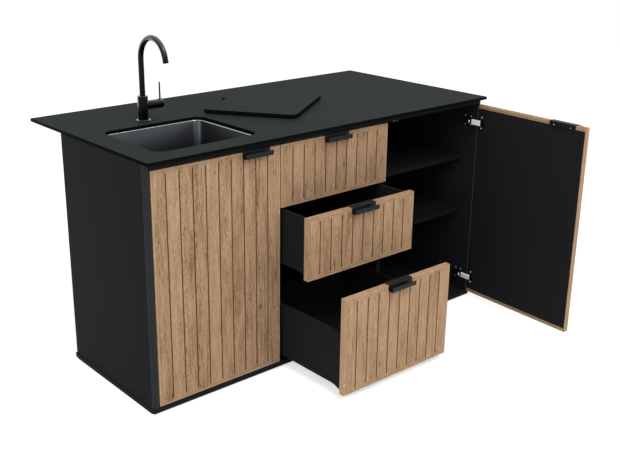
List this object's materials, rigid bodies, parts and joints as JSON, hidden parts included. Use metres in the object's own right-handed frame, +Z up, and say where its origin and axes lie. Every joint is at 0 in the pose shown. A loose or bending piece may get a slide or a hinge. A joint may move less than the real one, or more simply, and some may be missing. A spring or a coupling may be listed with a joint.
{
  "type": "outdoor kitchen island",
  "caption": "Outdoor kitchen island with sink, swivel tap, loose sink cover, hinged doors, pull-out drawers and open shelves under a worktop that overhangs at the back.",
  "frame": {"origin": "on the floor, under the middle of the island's bounding box with the right door and two drawers open as at rest", "axes": "+X runs along the front to the right, +Y from the fronts to the back, +Z up"},
  "size_m": [1.69, 1.3582, 1.2498],
  "materials": {
    "worktop": "matt dark compact laminate",
    "black_board": "black laminated board, satin",
    "timber": "oiled knotty timber boards",
    "black_metal": "matt black coating",
    "steel": "brushed",
    "sink_steel": "dark coated brushed steel",
    "hinge_nickel": "bright nickel",
    "black_plastic": "matt black"
  },
  "bodies": {
    "cabinet": {"worktop": "worktop", "base_slab": "black_board", "foot_rail_1": "black_plastic", "foot_rail_2": "black_plastic", "foot_rail_3": "black_plastic", "foot_rail_4": "black_plastic", "left_side": "black_board", "right_side": "black_board", "left_partition": "black_board", "right_partition": "black_board", "back_panel": "black_board", "top_frame": "black_board", "upper_shelf": "black_board", "lower_shelf": "black_board", "sink_bowl": "sink_steel", "drain_body": "steel", "bottle_trap": "black_plastic", "tap_body": "black_metal", "left_upper_hinge_arm": "hinge_nickel", "left_lower_hinge_arm": "hinge_nickel", "right_upper_hinge_arm": "hinge_nickel", "right_lower_hinge_arm": "hinge_nickel", "left_door_catch": "steel", "right_door_catch": "steel", "top_drawer_left_rail": "steel", "top_drawer_right_rail": "steel", "middle_drawer_left_rail": "steel", "middle_drawer_right_rail": "steel", "bottom_drawer_left_rail": "steel", "bottom_drawer_right_rail": "steel"},
    "left_door": {"left_door_front": "timber", "left_door_panel": "black_board", "left_door_handle": "black_metal", "left_upper_hinge_cup": "hinge_nickel", "left_lower_hinge_cup": "hinge_nickel"},
    "left_door_links": {"left_upper_hinge_link": "hinge_nickel", "left_lower_hinge_link": "hinge_nickel"},
    "right_door": {"right_door_front": "timber", "right_door_panel": "black_board", "right_door_handle": "black_metal", "right_upper_hinge_cup": "hinge_nickel", "right_lower_hinge_cup": "hinge_nickel"},
    "right_door_links": {"right_upper_hinge_link": "hinge_nickel", "right_lower_hinge_link": "hinge_nickel"},
    "top_drawer": {"top_drawer_front": "timber", "top_drawer_handle": "black_metal", "top_drawer_box": "black_board"},
    "top_drawer_runner": {"top_drawer_slide": "steel"},
    "middle_drawer": {"middle_drawer_front": "timber", "middle_drawer_handle": "black_metal", "middle_drawer_box": "black_board"},
    "middle_drawer_runner": {"middle_drawer_slide": "steel"},
    "bottom_drawer": {"bottom_drawer_front": "timber", "bottom_drawer_handle": "black_metal", "bottom_drawer_box": "black_board"},
    "bottom_drawer_runner": {"bottom_drawer_slide": "steel"},
    "spout": {"tap_spout": "black_metal"},
    "lever": {"mixer_lever": "black_metal"},
    "cover": {"sink_cover": "worktop"},
    "basket": {"strainer": "steel"}
  },
  "joints": [
    {"name": "left_door_swing", "type": "hinge", "parent": "cabinet", "child": "left_door", "pos_m": [-0.8313, -0.12313, 0.4555], "axis": [0, 0, -1], "range_deg": [0, 92]},
    {"name": "left_link_turn", "type": "hinge", "parent": "cabinet", "child": "left_door_links", "pos_m": [-0.8065, -0.10193, 0.4555], "axis": [0, 0, -1], "range_deg": [0, 94.2]},
    {"name": "right_door_swing", "type": "hinge", "parent": "cabinet", "child": "right_door", "pos_m": [0.8313, -0.12313, 0.4555], "axis": [0, 0, 1], "range_deg": [-87, 5]},
    {"name": "right_link_turn", "type": "hinge", "parent": "cabinet", "child": "right_door_links", "pos_m": [0.8065, -0.10193, 0.4555], "axis": [0, 0, 1], "range_deg": [-89.1, 5.2]},
    {"name": "top_drawer_pull", "type": "slide", "parent": "cabinet", "child": "top_drawer", "axis": [0, -1, 0], "range_m": [0, 0.42]},
    {"name": "top_runner_travel", "type": "slide", "parent": "cabinet", "child": "top_drawer_runner", "axis": [0, -1, 0], "range_m": [0, 0.21]},
    {"name": "middle_drawer_pull", "type": "slide", "parent": "cabinet", "child": "middle_drawer", "axis": [0, -1, 0], "range_m": [-0.1535, 0.2665]},
    {"name": "middle_runner_travel", "type": "slide", "parent": "cabinet", "child": "middle_drawer_runner", "axis": [0, -1, 0], "range_m": [-0.07675, 0.13325]},
    {"name": "bottom_drawer_pull", "type": "slide", "parent": "cabinet", "child": "bottom_drawer", "axis": [0, -1, 0], "range_m": [-0.353, 0.067]},
    {"name": "bottom_runner_travel", "type": "slide", "parent": "cabinet", "child": "bottom_drawer_runner", "axis": [0, -1, 0], "range_m": [-0.1765, 0.0335]},
    {"name": "spout_swivel", "type": "hinge", "parent": "cabinet", "child": "spout", "pos_m": [-0.528, 0.36967, 1], "axis": [0, 0, 1], "range_deg": [-120, 120]},
    {"name": "lever_turn", "type": "hinge", "parent": "cabinet", "child": "lever", "pos_m": [-0.4597, 0.36967, 0.9773], "axis": [1, 0, 0], "range_deg": [0, 90]},
    {"name": "cover_lift", "type": "slide", "parent": "cabinet", "child": "cover", "axis": [0, 0, 1], "range_m": [0, 0.15]},
    {"name": "strainer_lift", "type": "slide", "parent": "cabinet", "child": "basket", "axis": [0, 0, 1], "range_m": [0, 0.15]}
  ],
  "couplings": [
    {"joint": "left_link_turn", "follows": "left_door_swing", "ratio": 1.023},
    {"joint": "right_link_turn", "follows": "right_door_swing", "ratio": 1.023},
    {"joint": "top_runner_travel", "follows": "top_drawer_pull", "ratio": 0.5},
    {"joint": "middle_runner_travel", "follows": "middle_drawer_pull", "ratio": 0.5},
    {"joint": "bottom_runner_travel", "follows": "bottom_drawer_pull", "ratio": 0.5}
  ]
}
